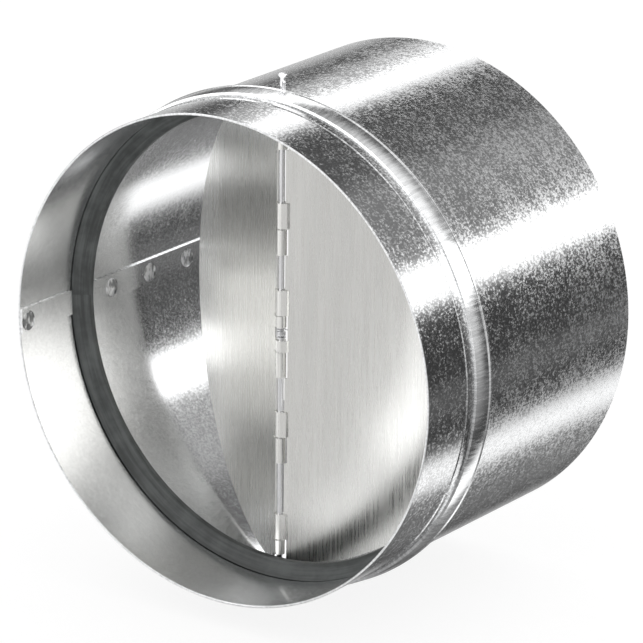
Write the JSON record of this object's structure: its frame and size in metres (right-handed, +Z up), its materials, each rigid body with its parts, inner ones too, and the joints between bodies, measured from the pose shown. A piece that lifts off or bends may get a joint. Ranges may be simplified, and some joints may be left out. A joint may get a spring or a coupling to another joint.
{
  "type": "backdraft damper",
  "caption": "Round duct backdraft damper: beaded sheet tube with a rubber seal ring and sprung half-disc blades on a cross spindle.",
  "frame": {"origin": "centre of the inlet rim", "axes": "+Y along the tube, the way the air flows; +Z up along the spindle; +X to the right seen from the inlet"},
  "size_m": [0.1272, 0.088, 0.1346],
  "materials": {
    "galvanised_sheet": "galvanised sheet with a fine spangle",
    "seal_rubber": "matt grey-green rubber",
    "spindle_steel": "bright drawn rod",
    "blade_aluminium": "satin, grain along the spindle",
    "spring_steel": "bright drawn wire"
  },
  "bodies": {
    "tube": {"housing": "galvanised_sheet", "seal_ring": "seal_rubber", "spindle": "spindle_steel", "spring_coil": "spring_steel"},
    "left_flap": {"left_blade": "blade_aluminium", "spring_left_arm": "spring_steel"},
    "right_flap": {"right_blade": "blade_aluminium", "spring_right_arm": "spring_steel"}
  },
  "joints": [
    {"name": "left_flap_hinge", "type": "hinge", "parent": "tube", "child": "left_flap", "pos_m": [0, 0.0261, 0], "axis": [0, 0, -1], "range_deg": [-34.5, 53.5], "stiffness_Nm_per_rad": 0.009, "springref_deg": -51.57},
    {"name": "right_flap_hinge", "type": "hinge", "parent": "tube", "child": "right_flap", "pos_m": [0, 0.0261, 0], "axis": [0, 0, 1], "range_deg": [-34.5, 53.5], "stiffness_Nm_per_rad": 0.009, "springref_deg": -51.57}
  ]
}
